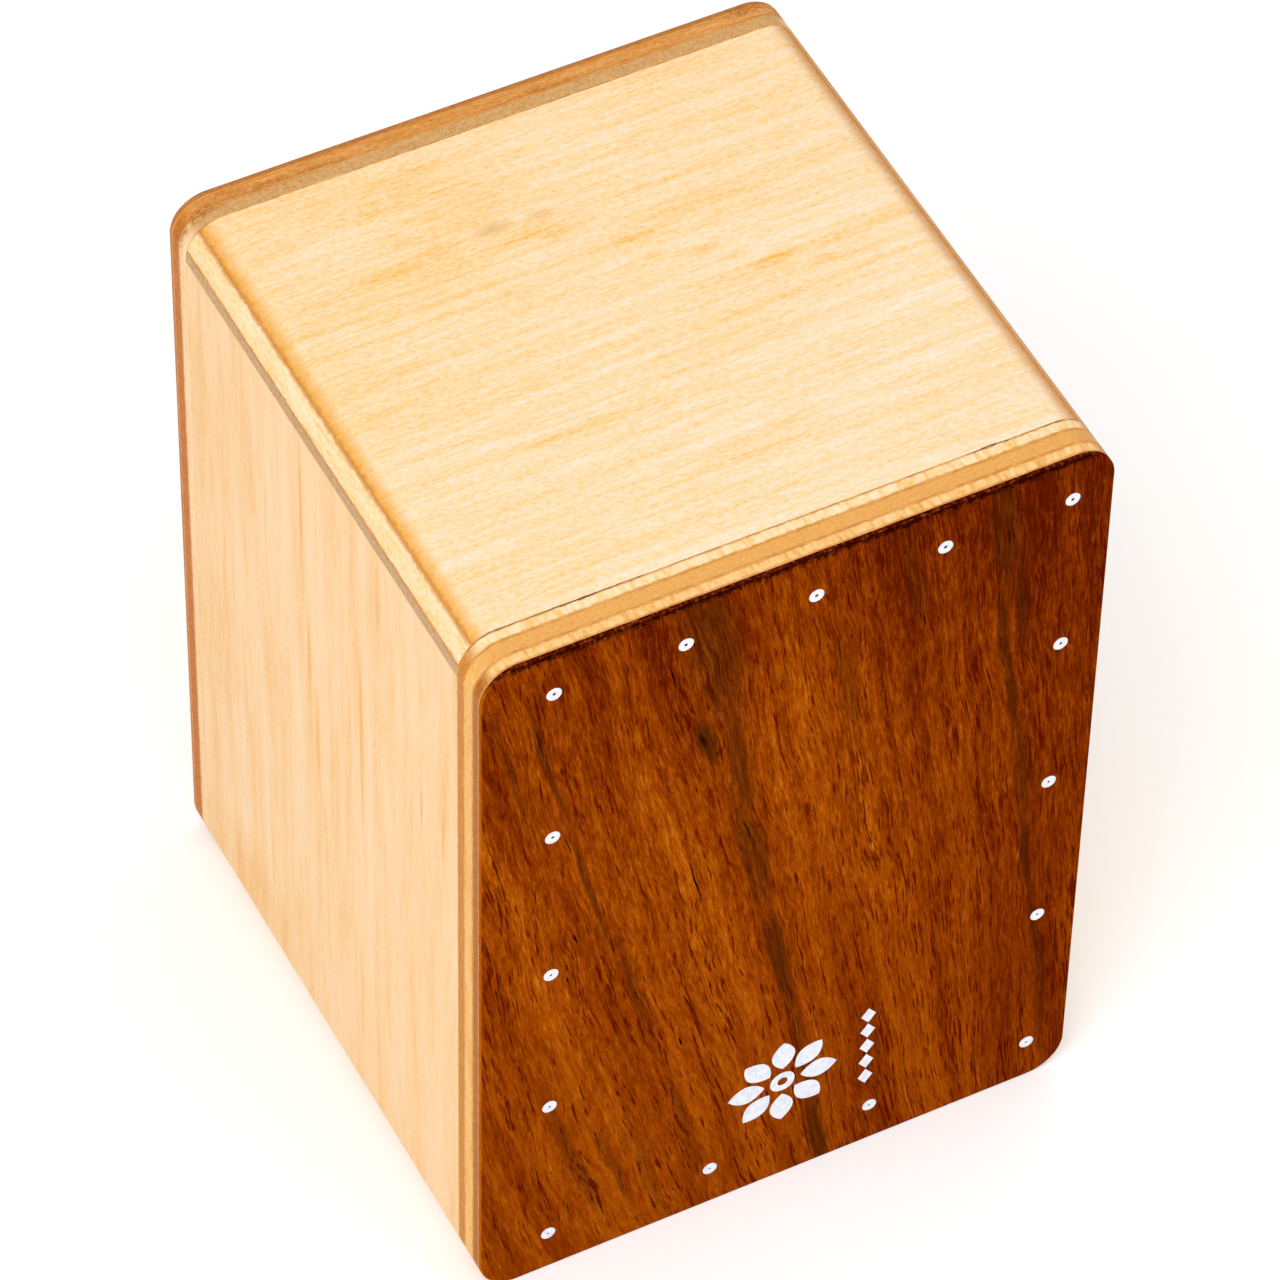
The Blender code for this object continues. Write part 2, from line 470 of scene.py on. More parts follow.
def faces_and_edges(nodes, board, sheet, tone, seed):
    """Colours of a sheet's face, and of the edges that run along its fibres."""
    node = f"{board}_{sheet}"
    fibre = fibre_axis(board, sheet)
    face, edge, _ = LOOKS.get(node, LOOKS["hidden"])
    colour = nodes.ramp(tone, face)
    if node == "top_face_ply":
        smoke = nodes.spots(nodes.place, TOP_KNOTS)
        colour = nodes.mix(smoke, colour, seen_as(*KNOT_BROWN))
    if edge is not face:
        thickness_axis = BOARDS[board][0]
        edge_axis = X + Y + Z - fibre - thickness_axis
        edge_colour = nodes.ramp(tone, edge)
        colour = nodes.mix(nodes.facing(edge_axis, *FACING_HALF_WAY), colour, edge_colour)
    if board == "front" and fibre == X:
        # The front board's crosswise sheets show short upright blotches along the top
        blotches = nodes.noise(nodes.place, (0.42, 1.6, 1.6), seed + 2, detail=2, roughness=0.6)
        blotch_tone = nodes.scaled(blotches, 1.9, -0.45)
        colour = nodes.mix(nodes.facing(Z, *FACING_HALF_WAY), colour, nodes.ramp(blotch_tone, edge))
    # Darker to the right: the wood's own deeper colour, and painted shade where the edge turns from the
    # light
    if sheet == "core_ply" and board in DEEPER_WOOD_AND_SHADE_RIGHT:
        right = nodes.rise(nodes.at[X], *DEEPER_WOOD_AND_SHADE_RIGHT[board])
        colour = nodes.mix(right, colour, nodes.ramp(tone, DEEPER_WOOD_AND_SHADE_EDGE))
    return colour


def with_cut_ends(nodes, board, sheet, colour, tone, seed):
    """Adds the ends that are cut across the fibres."""
    node = f"{board}_{sheet}"
    grain_ends = nodes.noise(nodes.place, (0.34,) * 3, seed + 3, detail=3, roughness=0.8)
    end_tone = nodes.math("ADD", nodes.scaled(grain_ends, 1.8, -0.4), nodes.scaled(tone, 0.4, -0.2))
    end_colour = nodes.ramp(end_tone, LOOKS.get(node, LOOKS["hidden"])[2])
    # Darker to the right: the wood's own deeper colour, and painted shade where the edge turns from the
    # light
    if node == "top_face_ply":
        right = nodes.rise(nodes.at[X], *DEEPER_WOOD_AND_SHADE_RIGHT["top"])
        end_colour = nodes.mix(right, end_colour, nodes.ramp(end_tone, DEEPER_WOOD_AND_SHADE_EDGE))
    if board in ("front", "back"):
        limits = PLATE_END_FACING
    else:
        limits = FACE_SHEET_END_FACING if is_outermost(board, sheet) else FACING_HALF_WAY
    return nodes.mix(nodes.facing(fibre_axis(board, sheet), *limits), colour, end_colour)


def with_seams(nodes, board, sheet, colour, seed):
    """Adds the glue that has soaked into the wood on either side of each seam, and the gaping joints."""
    node = f"{board}_{sheet}"
    thickness_axis, side, _ = BOARDS[board]
    low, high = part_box(node)
    planes = (low[thickness_axis] / MM, high[thickness_axis] / MM)
    outer_seam, inner_seam = sorted(planes, reverse=side > 0)
    seams = [inner_seam] if is_outermost(board, sheet) else [outer_seam, inner_seam]
    if sheet == "inner_ply" and board != "front":
        seams.remove(inner_seam)
    ragged = nodes.noise(nodes.place, (0.7,) * 3, seed + 4, detail=3, roughness=0.6)
    for seam in seams:
        away = nodes.distance(thickness_axis, seam, ragged, 0.5)
        colour = nodes.mix(nodes.rise(away, 0.2, 0.0, 0.7), colour, seen_as(*GLUE_TINT))
    if node in ("top_face_ply", "front_inner_ply"):
        joint = (low.y if board == "top" else high.y) / MM
        away = nodes.distance(Y, joint, ragged, 0.3)
        broken = nodes.rise(nodes.noise(nodes.place, (1.0,) * 3, seed + 6, detail=2), 0.36, 0.56)
        gaping = nodes.math("MULTIPLY", nodes.rise(away, 0.12, 0.0), nodes.spots(nodes.place, JOINT_GAPS))
        colour = nodes.mix(nodes.math("MULTIPLY", gaping, broken), colour, seen_as(*GAP_BROWN))
    return colour


def ply(board, sheet, seed):
    """Lacquered birch, as a solid: streaks and specks along its fibres, cut ends, and soaked seams."""
    nodes = Nodes(f"{board}_{sheet}")
    streaks, specks, tone = grain_of(nodes, board, sheet, seed)
    if (board, sheet) == ("top", "face_ply"):
        stains = nodes.spots(nodes.place, TOP_STAINS)
        broken = nodes.noise(nodes.place, (2.5, 0.5, 2.0), seed + 1, detail=3)
        tone = nodes.math("ADD", tone, nodes.math("MULTIPLY", stains, nodes.scaled(broken, 3.0, -0.5)))
        # Painted shade: the top's face darkens towards the back and the left
        for axis, slope in TOP_PAINTED_SHADE_SLOPES:
            tone = nodes.math("ADD", tone, nodes.scaled(nodes.at[axis], slope))
    if (board, sheet) == ("left_side", "face_ply"):
        tone = nodes.math("ADD", tone, nodes.scaled(nodes.spots(nodes.place, SIDE_RINGS), 1.5))

    colour = faces_and_edges(nodes, board, sheet, tone, seed)
    colour = with_cut_ends(nodes, board, sheet, colour, tone, seed)
    colour = with_seams(nodes, board, sheet, colour, seed)
    if board == "back":
        crumbs = nodes.noise(nodes.place, (0.45, 0.3, 0.45), seed + 5, detail=2, roughness=0.7)
        patches = nodes.spots(nodes.place, BACK_PATCHES, core=0.3)
        patches = nodes.math("MULTIPLY", patches, nodes.rise(crumbs, 0.37, 0.6, 0.8))
        colour = nodes.mix(patches, colour, seen_as(*VOID_BROWN))

    if is_outermost(board, sheet):
        nodes.bump(streaks, GRAIN_RELIEF)
        return nodes.finish(colour, nodes.scaled(specks, 0.2, 0.36), specular=0.12)
    return nodes.finish(colour, 0.5, specular=0.12)


WALNUT = ((84, 20, 0), (114, 38, 0), (144, 60, 2), (172, 84, 8), (206, 120, 26))
WALNUT_EDGE = ((150, 66, 4), (176, 90, 14), (196, 112, 34))
WALNUT_END = ((36, 2, 0), (76, 14, 2), (150, 64, 24))
PORE_RED = (84, 8, 0)
STREAK_BROWN = (62, 27, 4)
CRACK_BLACK = (22, 5, 3)
BURNT_BLACK = (32, 3, 0)

# Drift of the grain towards +X per mm on the way down, and how much it closes up per mm; single
# fibres close up less than the streaks do, on the -X side
GRAIN_DRIFT = 0.16
GRAIN_FAN = 0.0032
FIBRE_FAN = 0.0006

# Noise values at which a pore begins and is fully there
PORE_LIMITS = (0.675, 0.735)

# Dark streaks of the walnut, by where they would meet the top edge along the fanning grain:
# (that X, height of the middle, half width, half length, strength)
BROWN_STREAKS = (
    (-9.3, 75.0, 3.4, 18.0, 0.55),
    (-11.8, 62.0, 1.0, 5.0, 0.8),
    (-9.4, 58.0, 1.6, 11.0, 0.65),
    (-10.2, 46.0, 1.9, 14.0, 0.55),
    (-10.2, 30.0, 1.5, 12.0, 0.7),
    (-10.1, 16.0, 1.5, 11.0, 0.45),
    (-10.7, 4.0, 1.8, 9.0, 0.75),
    (17.9, 76.0, 2.0, 13.0, 0.55),
    (18.1, 72.4, 0.4, 4.2, 0.85),
    (17.5, 57.0, 0.8, 17.0, 0.6),
    (19.3, 65.0, 0.8, 9.0, 0.5),
    (17.9, 43.0, 1.2, 12.0, 0.5),
    (18.0, 32.0, 0.8, 8.0, 0.7),
    (18.7, 15.0, 1.0, 16.0, 0.5),
    (-25.7, 66.0, 0.4, 13.0, 0.6),
    (-26.1, 49.0, 0.6, 13.0, 0.5),
    (-25.2, 34.0, 1.0, 11.0, 0.4),
    (-29.2, 67.0, 0.6, 11.0, 0.45),
    (-38.5, 14.0, 1.4, 14.0, 0.4),
    (-35.0, 11.0, 1.0, 10.0, 0.35),
    (-25.4, 12.0, 1.0, 11.0, 0.35),
    (-31.5, 8.0, 1.4, 11.0, 0.3),
    (9.5, 73.0, 1.2, 10.0, 0.35),
    (2.2, 62.0, 1.6, 11.0, 0.3),
)
BLACK_HAIRLINES = (
    (-12.0, 62.6, 0.5, 2.6, 0.5),
    (-11.2, 60.2, 0.35, 1.4, 0.45),
    (-13.0, 72.0, 0.12, 2.7, 0.95),
    (-13.5, 66.6, 0.1, 1.6, 0.8),
    (-16.4, 44.8, 0.14, 5.2, 1.0),
    (-14.9, 45.3, 0.11, 1.9, 0.9),
    (-10.2, 48.9, 0.14, 2.5, 1.0),
    (-22.6, 24.2, 0.22, 1.0, 1.0),
    (-29.1, 43.4, 0.17, 1.1, 1.0),
    (-31.2, 38.4, 0.17, 0.8, 1.0),
    (-31.4, 51.2, 0.12, 2.1, 0.9),
    (-26.7, 55.7, 0.12, 2.2, 0.8),
    (-25.8, 69.0, 0.1, 3.0, 0.8),
    (9.7, 67.3, 0.12, 1.6, 0.8),
    (18.2, 73.5, 0.14, 1.8, 0.8),
    (-20.5, 29.5, 0.14, 1.9, 0.6),
    (13.4, 74.0, 0.12, 1.4, 0.6),
)


def grain_spots(listed):
    """Streaks or cracks along the grain, as Nodes.spots takes them."""
    return [
        ((top_x, 0, z), (half_width, 1, half_length), strength)
        for top_x, z, half_width, half_length, strength in listed
    ]


def walnut():
    """Oiled walnut veneer: a fanning grain with fine flecks, dark red pores and a few black streaks."""
    nodes = Nodes("walnut_veneer")
    _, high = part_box("front_walnut_veneer")

    # X where this point's fibre meets the top edge: fibres drift towards +X and close up downwards
    fallen = nodes.scaled(nodes.at[Z], -1.0, high.z / MM)
    drifted = nodes.math("SUBTRACT", nodes.at[X], nodes.scaled(fallen, GRAIN_DRIFT))
    across = nodes.math("DIVIDE", drifted, nodes.scaled(fallen, -GRAIN_FAN, 1.0))
    wander = nodes.scaled(nodes.noise(nodes.place, (7.0, 7.0, 14.0), 3, detail=2), 1.8, -0.9)
    across = nodes.math("ADD", across, wander)
    grain = nodes.join(across, nodes.at[Y], nodes.at[Z])
    spread = nodes.math("ADD", nodes.rise(nodes.at[X], -25.0, 5.0, GRAIN_FAN - FIBRE_FAN), FIBRE_FAN)
    closing = nodes.math("SUBTRACT", 1.0, nodes.math("MULTIPLY", fallen, spread))
    fibre_across = nodes.math("ADD", nodes.math("DIVIDE", drifted, closing), wander)
    fibres = nodes.join(fibre_across, nodes.at[Y], nodes.at[Z])

    # Broad bands, and fine flecks and hairs that are calmer low down; darker towards the upper right
    bands = nodes.noise(grain, along(Z, 60, 3.0), 1, detail=3, roughness=0.7)
    flecks = nodes.noise(fibres, along(Z, 3.0, 0.42), 2, detail=3, roughness=0.95)
    hairs = nodes.noise(fibres, along(Z, 1.8, 0.15), 11, detail=1)
    fine = nodes.math("ADD", nodes.scaled(flecks, 1.35, -0.675), nodes.scaled(hairs, 0.5, -0.25))
    calm = nodes.math("SUBTRACT", 1.0, nodes.rise(nodes.at[Z], 55.0, 10.0, 0.3))
    tone = nodes.math("ADD", bands, nodes.math("MULTIPLY", fine, calm))
    right, high_up = nodes.rise(nodes.at[X], 0.0, 30.0), nodes.rise(nodes.at[Z], -30.0, 60.0, 0.25)
    tone = nodes.math("SUBTRACT", tone, nodes.math("MULTIPLY", right, high_up))
    tone = nodes.math("SUBTRACT", tone, nodes.rise(nodes.at[Z], 50.0, 85.0, 0.2))
    colour = nodes.ramp(tone, WALNUT)

    # Pores: thin dark red dashes along some of the fibres, and most of them towards +X
    dashes = nodes.noise(fibres, along(Z, 2.2, 0.17), 5, detail=1)
    rows = nodes.noise(fibres, along(Z, 16, 0.5), 6, detail=2)
    crowds = nodes.noise(grain, along(Z, 30, 9), 7, detail=1)
    pores = nodes.math("ADD", nodes.scaled(dashes, 0.6), nodes.scaled(rows, 0.45))
    pores = nodes.math("ADD", pores, nodes.scaled(crowds, 0.12))
    pores = nodes.math("ADD", pores, nodes.rise(nodes.at[X], -12.0, 10.0, 0.03))
    colour = nodes.mix(nodes.rise(pores, *PORE_LIMITS, 0.85), colour, seen_as(*PORE_RED))

    # The broad streaks are made of darker threads; the hairlines are open cracks
    threads = nodes.noise(grain, along(Z, 12, 0.4), 8, detail=2)
    centres = nodes.join(nodes.math("ADD", across, nodes.scaled(threads, 0.8, -0.4)), 0.0, nodes.at[Z])
    streaks = nodes.spots(centres, grain_spots(BROWN_STREAKS), core=0.3)
    shade = nodes.math("MULTIPLY", streaks, nodes.scaled(threads, 1.3, 0.35))
    colour = nodes.mix(nodes.math("MINIMUM", shade, 0.92), colour, seen_as(*STREAK_BROWN))
    jagged = nodes.noise(nodes.place, (0.4, 0.4, 0.9), 9, detail=2)
    cracks = nodes.join(nodes.math("ADD", across, nodes.scaled(jagged, 0.24, -0.12)), 0.0, nodes.at[Z])
    hairlines = nodes.rise(nodes.spots(cracks, grain_spots(BLACK_HAIRLINES)), 0.15, 0.6)
    colour = nodes.mix(hairlines, colour, seen_as(*CRACK_BLACK))

    # The top edge is burnt dark, and the cut ends of the fibres are nearly black
    ragged = nodes.noise(nodes.place, (0.35,) * 3, 10, detail=3, roughness=0.7)
    below = nodes.math("ADD", fallen, nodes.scaled(ragged, 2.4, -1.2))
    colour = nodes.mix(nodes.rise(below, 0.85, 0.1, 0.96), colour, seen_as(*BURNT_BLACK))
    colour = nodes.mix(nodes.facing(X, 0.4, 0.8), colour, nodes.ramp(tone, WALNUT_EDGE))
    ends = nodes.ramp(nodes.scaled(ragged, 2.6, -0.8), WALNUT_END)
    colour = nodes.mix(nodes.facing(Z, 0.35, 0.75), colour, ends)

    nodes.bump(nodes.math("SUBTRACT", flecks, nodes.rise(pores, *PORE_LIMITS)), GRAIN_RELIEF)
    return nodes.finish(colour, nodes.scaled(flecks, 0.25, 0.34), specular=0.0)


def glue(name, light, dark):
    """Dried wood glue in a seam, with darker stretches."""
    nodes = Nodes(name)
    stretches = nodes.noise(nodes.place, (1.2,) * 3, detail=3)
    colour = nodes.ramp(nodes.rise(stretches, 0.38, 0.64), (light, dark))
    if name == "joint_glue":
        crumbled = nodes.rise(stretches, 0.36, 0.5)
        gaping = nodes.math("MULTIPLY", nodes.spots(nodes.place, JOINT_GAPS), crumbled)
        colour = nodes.mix(gaping, colour, seen_as(*GAP_SHADOW))
    return nodes.finish(colour, 0.5, specular=0.1)


def white_ink():
    """Screen-printed white ink, a little uneven."""
    nodes = Nodes("white_ink")
    patches = nodes.noise(nodes.place, (0.5,) * 3, detail=3)
    colour = nodes.ramp(nodes.rise(patches, 0.35, 0.7), ((240, 243, 250), (222, 226, 236)))
    nodes.bump(patches, 0.004 * MM)
    return nodes.finish(colour, nodes.scaled(patches, 0.3, 0.32), specular=0.3)


def steel():
    """Bright rolled steel with a fine matt skin."""
    nodes = Nodes("steel_shot")
    nodes.shader.inputs["Metallic"].default_value = 1.0
    skin = nodes.noise(nodes.place, (0.4,) * 3, detail=4)
    colour = nodes.ramp(skin, ((226, 228, 232), (190, 192, 197)))
    return nodes.finish(colour, 0.28, specular=0.5)


# ---------------------------------------------------------------- pieces


def sheet_woods():
    """The wood of each sheet, by its CAD node's name."""
    woods = {}
    for board, (_, _, sheets) in BOARDS.items():
        for sheet in sheets:
            node = f"{board}_{sheet}"
            woods[node] = walnut() if sheet == "walnut_veneer" else ply(board, sheet, len(woods))
    return woods


def make_sheets():
    for node, wood in sheet_woods().items():
        low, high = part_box(node)
        shape = prism(low, high)
        if node == "front_walnut_veneer":
            ease_rim(shape, low.y, FRONT_ARRIS)
        if node == "back_outer_ply":
            ease_rim(shape, high.y, BACK_ARRIS)
        piece = finished(f"{node}_sheet", shape, wood)
        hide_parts(node)


def depth_and_normal(point):
    """How far a point lies below the box's rounded section, and the way out, both in the XZ plane."""
    radius = LONG_EDGE_RADIUS
    core_x = min(max(point.x, LOW.x + radius), HIGH.x - radius)
    core_z = min(max(point.z, LOW.z + radius), HIGH.z - radius)
    out = Vector((point.x - core_x, 0, point.z - core_z))
    depth = radius - out.length
    return depth, out.normalized()


FILM_STEP = 0.35 * MM
FILM_RECESS = 0.005 * MM

# How much deeper than the recess a film lies where glue is missing
SEAM_HOLLOW = 0.025 * MM
PLATE_JOINT_HOLLOW = 0.02 * MM
TOP_PLATE_JOINT_HOLLOW = 0.1 * MM
SIDE_JOINT_HOLLOW = 0.03 * MM


def lack_of_glue(spot):
    """0 where the glue fills the seam, up to 1 where it is missing."""
    broad, narrow = noise.noise(spot / (4 * MM)), noise.noise(spot / (0.9 * MM))
    return min(1.0, max(0.0, broad * 1.6 + narrow * 0.5))


def film(name, low, high, material, hollow):
    """Glue between two sheets, a little below the surface, and up to hollow deeper."""
    depth_along_y = high.y - low.y
    shape = prism(low, high, spacing=FILM_STEP)
    if depth_along_y > 2 * FILM_STEP:
        long_edges = [
            edge for edge in shape.edges if abs(edge.verts[0].co.y - edge.verts[1].co.y) > FILM_STEP
        ]
        cuts = int(depth_along_y / FILM_STEP)
        bmesh.ops.subdivide_edges(shape, edges=long_edges, cuts=cuts, use_grid_fill=True)
    for vert in shape.verts:
        depth, out = depth_and_normal(vert.co)
        if depth < ON_PLANE:
            spot = Vector((vert.co.x, low.y, vert.co.z)) if depth_along_y < FILM_STEP else vert.co
            vert.co -= out * (FILM_RECESS + hollow * lack_of_glue(spot))
    return finished(name, shape, material)


def board_box(board):
    """The corners of a whole board."""
    boxes = [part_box(f"{board}_{sheet}") for sheet in BOARDS[board][2]]
    low = Vector(min(box[0][axis] for box in boxes) for axis in (X, Y, Z))
    high = Vector(max(box[1][axis] for box in boxes) for axis in (X, Y, Z))
    return low, high


def gap_between(first, second, axis, side):
    """The space between two boxes that lie one behind the other, first outermost, as two corners."""
    (first_low, first_high), (second_low, second_high) = first, second
    low = Vector(max(pair) for pair in zip(first_low, second_low))
    high = Vector(min(pair) for pair in zip(first_high, second_high))
    if side > 0:
        low[axis], high[axis] = second_high[axis], first_low[axis]
    else:
        low[axis], high[axis] = first_high[axis], second_low[axis]
    return low, high


def make_glue():
    seam = glue("seam_glue", (232, 172, 94), (202, 134, 58))
    joint = glue("joint_glue", (228, 172, 100), (176, 116, 56))
    pale_joint = glue("pale_joint_glue", (250, 208, 156), (232, 178, 114))
    for board, (axis, side, sheets) in BOARDS.items():
        boxes = [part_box(f"{board}_{sheet}") for sheet in sheets]
        for number, (outer, inner) in enumerate(zip(boxes, boxes[1:]), start=1):
            low, high = gap_between(outer, inner, axis, side)
            film(f"{board}_glue_line_{number}", low, high, seam, SEAM_HOLLOW)
    for end, side in (("front", -1), ("back", 1)):
        plate = board_box(end)
        for board in ("top", "bottom", "left_side", "right_side"):
            low, high = gap_between(plate, board_box(board), Y, side)
            if board == "top":
                film(f"{end}_{board}_joint_glue", low, high, joint, TOP_PLATE_JOINT_HOLLOW)
            else:
                film(f"{end}_{board}_joint_glue", low, high, pale_joint, PLATE_JOINT_HOLLOW)
    top, bottom = board_box("top"), board_box("bottom")
    for board, side in (("left_side", -1), ("right_side", 1)):
        upright = board_box(board)
        low, high = gap_between(top, upright, Z, 1)
        film(f"top_{board}_joint_glue", low, high, pale_joint, SIDE_JOINT_HOLLOW)
        low, high = gap_between(upright, bottom, X, side)
        film(f"bottom_{board}_joint_glue", low, high, pale_joint, SIDE_JOINT_HOLLOW)


# ---------------------------------------------------------------- print


INK_PROUD = 0.02 * MM
INK_SUNK = 0.01 * MM
DOT_RADIUS = 0.68 * MM
DOT_HOLE = 0.16 * MM
DOT_POINTS = 40
PRINT_CENTRE_X = 1.3 * MM
DOT_HALF_WIDTH = 23.4 * MM
DOT_TOP = 75.2 * MM
DOT_BOTTOM = 4.7 * MM
DOTS_ACROSS_TOP = 5
DOTS_DOWN_SIDE = 5
DOTS_ACROSS_BOTTOM = 4

# Shares of a ring's radius: how uneven its edges are, and how far its hole is off its middle
RING_UNEVEN = 0.035
HOLE_SHIFT = 0.06

# The holes of the lowest dots have filled with ink by this share
HOLE_FILLED = 0.35


def print_ring(name, centre, radius, hole, material):
    """A ring of ink with slightly uneven edges, its hole a little off its middle."""
    middle_x, middle_z = centre
    hole_shift = HOLE_SHIFT * radius * noise.noise(Vector((middle_x / MM, middle_z / MM, 0.5)))
    shape = bmesh.new()
    rings = []
    for y in (LOW.y - INK_PROUD, LOW.y + INK_SUNK):
        for reach, shift in ((radius, 0.0), (hole, hole_shift)):
            ring = []
            for step in range(DOT_POINTS):
                angle = 2 * math.pi * step / DOT_POINTS
                cosine, sine = math.cos(angle), math.sin(angle)
                spot = Vector((cosine * 1.5, sine * 1.5, middle_x / MM + middle_z / MM))
                uneven = 1 + RING_UNEVEN * noise.noise(spot)
                x = middle_x + shift + reach * uneven * cosine
                z = middle_z + shift + reach * uneven * sine
                ring.append(shape.verts.new((x, y, z)))
            rings.append(ring)
    front_out, front_in, rear_out, rear_in = rings
    walls = ((front_out, front_in), (rear_in, rear_out), (rear_out, front_out), (front_in, rear_in))
    for first, second in walls:
        for step in range(DOT_POINTS):
            after = (step + 1) % DOT_POINTS
            shape.faces.new((first[step], first[after], second[after], second[step]))
    bmesh.ops.recalc_face_normals(shape, faces=shape.faces[:])
    return finished(name, shape, material)


def print_shapes(name, outlines, material):
    """Flat islands of ink, each from an outline of (x, z) points."""
    shape = bmesh.new()
    for outline in outlines:
        verts = [shape.verts.new((x, LOW.y + INK_SUNK, z)) for x, z in outline]
        shape.faces.new(verts)
    far = bmesh.ops.extrude_face_region(shape, geom=shape.faces[:])["geom"]
    far_verts = [item for item in far if isinstance(item, bmesh.types.BMVert)]
    bmesh.ops.translate(shape, vec=(0, -INK_PROUD - INK_SUNK, 0), verts=far_verts)
    bmesh.ops.recalc_face_normals(shape, faces=shape.faces[:])
    return finished(name, shape, material)


def dot_centres():
    """The dots' places: a row along the top, a column down each side, and a row along the bottom."""
    left, right = PRINT_CENTRE_X - DOT_HALF_WIDTH, PRINT_CENTRE_X + DOT_HALF_WIDTH
    for number in range(DOTS_ACROSS_TOP):
        yield left + (right - left) * number / (DOTS_ACROSS_TOP - 1), DOT_TOP
    for number in range(1, DOTS_DOWN_SIDE):
        z = DOT_TOP + (DOT_BOTTOM - DOT_TOP) * number / (DOTS_DOWN_SIDE - 1)
        yield left, z
        yield right, z
    for number in range(1, DOTS_ACROSS_BOTTOM - 1):
        yield left + (right - left) * number / (DOTS_ACROSS_BOTTOM - 1), DOT_BOTTOM


ROSETTE_CENTRE = (0.3 * MM, 13.0 * MM)
ROSETTE_EYE = 1.2 * MM
ROSETTE_EYE_HOLE = 0.5 * MM
PETALS = 8
PETAL_POINTS = 14
PETAL_START = 1.75 * MM
PETAL_LENGTH = 3.5 * MM
PETAL_HALF_WIDTH = 1.12 * MM
PETAL_FULLNESS = 0.8

LOZENGES = 5
LOZENGE_X = 8.5 * MM
LOWEST_LOZENGE = 9.1 * MM
LOZENGE_SPACING = 2.1 * MM
LOZENGE_HALF_WIDTH = 0.72 * MM
LOZENGE_HALF_HEIGHT = 0.95 * MM


def petal(angle):
    """A leaf-shaped outline that points away from the rosette's centre."""
    centre_x, centre_z = ROSETTE_CENTRE
    cosine, sine = math.cos(angle), math.sin(angle)
    there = [(1, step / PETAL_POINTS) for step in range(PETAL_POINTS)]
    back = [(-1, step / PETAL_POINTS) for step in range(PETAL_POINTS, 0, -1)]
    outline = []
    for side, share in there + back:
        reach = PETAL_START + PETAL_LENGTH * share
        aside = side * PETAL_HALF_WIDTH * math.sin(math.pi * share) ** PETAL_FULLNESS
        x = centre_x + reach * cosine - aside * sine
        z = centre_z + reach * sine + aside * cosine
        outline.append((x, z))
    return outline


def lozenge(z):
    """A lozenge's outline, in the column beside the rosette."""
    left, right = LOZENGE_X - LOZENGE_HALF_WIDTH, LOZENGE_X + LOZENGE_HALF_WIDTH
    bottom, top = z - LOZENGE_HALF_HEIGHT, z + LOZENGE_HALF_HEIGHT
    return [(left, z), (LOZENGE_X, bottom), (right, z), (LOZENGE_X, top)]


def make_print():
    ink = white_ink()
    for number, (x, z) in enumerate(dot_centres(), start=1):
        low_down = 1 - (z - DOT_BOTTOM) / (DOT_TOP - DOT_BOTTOM)
        hole = DOT_HOLE * (1 - HOLE_FILLED * low_down)
        print_ring(f"printed_dot_{number:02d}", (x, z), DOT_RADIUS, hole, ink)
    petals = [petal(math.pi / 2 + 2 * math.pi * number / PETALS) for number in range(PETALS)]
    print_shapes("printed_rosette_petals", petals, ink)
    print_ring("printed_rosette_eye", ROSETTE_CENTRE, ROSETTE_EYE, ROSETTE_EYE_HOLE, ink)
    heights = [LOWEST_LOZENGE + LOZENGE_SPACING * number for number in range(LOZENGES)]
    print_shapes("printed_lozenges", [lozenge(z) for z in heights], ink)


# ---------------------------------------------------------------- shot


BALL_SUBDIVISIONS = 4
BALL_UNEVEN = 0.012 * MM


def make_shot():
    material = steel()
    for node in sorted(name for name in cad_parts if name.startswith("shot_")):
        low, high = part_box(node)
        centre, radius = (low + high) / 2, (high.z - low.z) / 2
        shape = bmesh.new()
        bmesh.ops.create_icosphere(shape, subdivisions=BALL_SUBDIVISIONS, radius=1.0)
        for vert in shape.verts:
            dent = abs(noise.noise(vert.co * 1.7 + centre / MM))
            vert.co = centre + vert.co * (radius - BALL_UNEVEN * dent)
        ball = placed(f"{node}_ball", shape, material)
        ball.data.shade_smooth()
        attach(ball, node)
        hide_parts(node)


# ---------------------------------------------------------------- stage, light and camera


CAMERA_AZIMUTH = math.radians(-28.17)
CAMERA_ELEVATION = math.radians(48.73)
CAMERA_ROLL = math.radians(1.375)
CAMERA_DISTANCE = 0.6546
CAMERA_LENS = 216.0
CAMERA_AIM = Vector((0.0010, -0.0002, 0.0403))

FLOOR_HALF_SIZE = 1.5
FLOOR_WHITE = (0.98, 0.98, 0.98, 1.0)
WORLD_WHITE = (1.0, 1.0, 1.0, 1.0)
WORLD_STRENGTH = 0.75


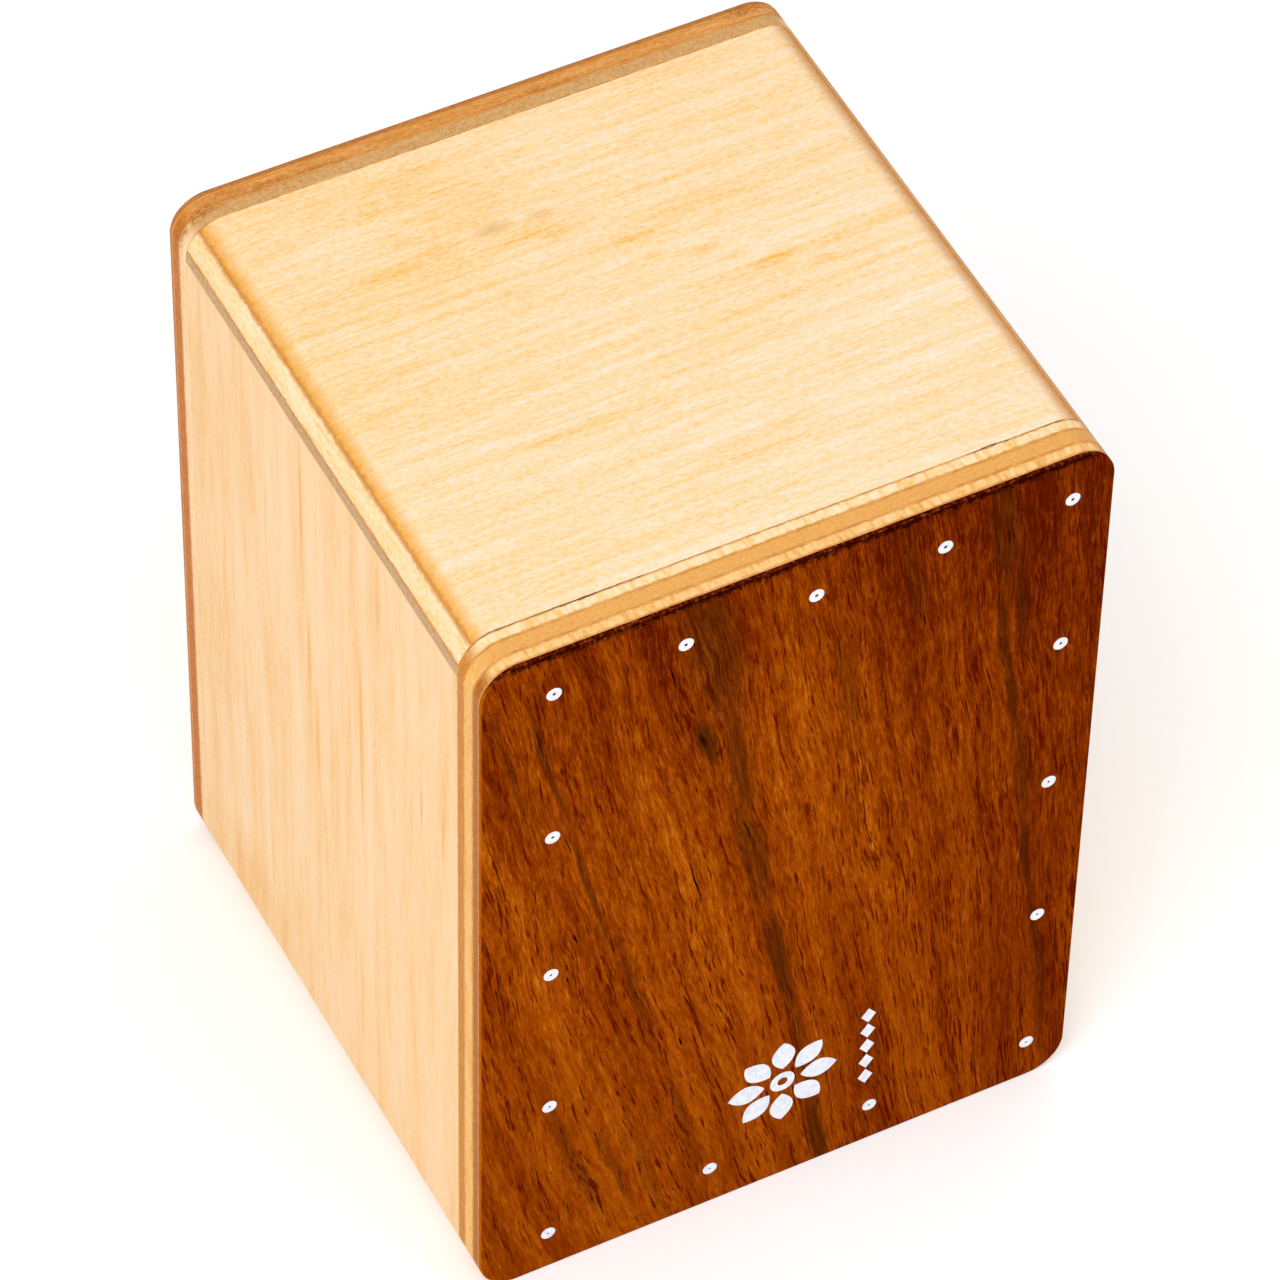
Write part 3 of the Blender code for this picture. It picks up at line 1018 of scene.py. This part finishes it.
def towards(azimuth, elevation):
    """The direction to a place round the box; azimuth 0 is straight before the front."""
    flat = math.cos(elevation)
    return Vector((math.sin(azimuth) * flat, -math.cos(azimuth) * flat, math.sin(elevation)))


def make_camera():
    data = bpy.data.cameras.new("camera")
    data.lens = CAMERA_LENS
    data.clip_start = 0.05
    data.clip_end = 10.0
    camera = bpy.data.objects.new("camera", data)
    bpy.context.scene.collection.objects.link(camera)
    back = towards(CAMERA_AZIMUTH, CAMERA_ELEVATION)
    camera.location = CAMERA_AIM + back * CAMERA_DISTANCE
    camera.rotation_mode = "QUATERNION"
    level = (-back).to_track_quat("-Z", "Y")
    camera.rotation_quaternion = level @ Quaternion((0, 0, 1), CAMERA_ROLL)
    bpy.context.scene.camera = camera


def make_floor():
    shape = bmesh.new()
    bmesh.ops.create_grid(shape, x_segments=8, y_segments=8, size=FLOOR_HALF_SIZE)
    material = Nodes("pale_floor").finish(FLOOR_WHITE, 0.9, specular=0.1)
    floor = placed("floor", shape, material)
    floor.location.z = LOW.z


def soft_box(name, azimuth, elevation, distance, size, power):
    """A square soft light that looks at the middle of the box."""
    data = bpy.data.lights.new(name, "AREA")
    data.shape = "SQUARE"
    data.size = size
    data.energy = power
    light = bpy.data.objects.new(name, data)
    bpy.context.scene.collection.objects.link(light)
    back = towards(math.radians(azimuth), math.radians(elevation))
    light.location = (LOW + HIGH) / 2 + back * distance
    light.rotation_mode = "QUATERNION"
    light.rotation_quaternion = (-back).to_track_quat("-Z", "Y")


def make_lights():
    world = bpy.data.worlds.new("studio")
    world.use_nodes = True
    background = world.node_tree.nodes["Background"]
    background.inputs["Color"].default_value = WORLD_WHITE
    background.inputs["Strength"].default_value = WORLD_STRENGTH
    bpy.context.scene.world = world
    soft_box("key_light", azimuth=-50, elevation=50, distance=0.9, size=0.7, power=5.0)
    soft_box("fill_light", azimuth=40, elevation=35, distance=1.1, size=0.8, power=2.5)
    bpy.context.scene.view_settings.view_transform = "Standard"


make_sheets()
make_glue()
make_print()
make_shot()
make_floor()
make_lights()
make_camera()
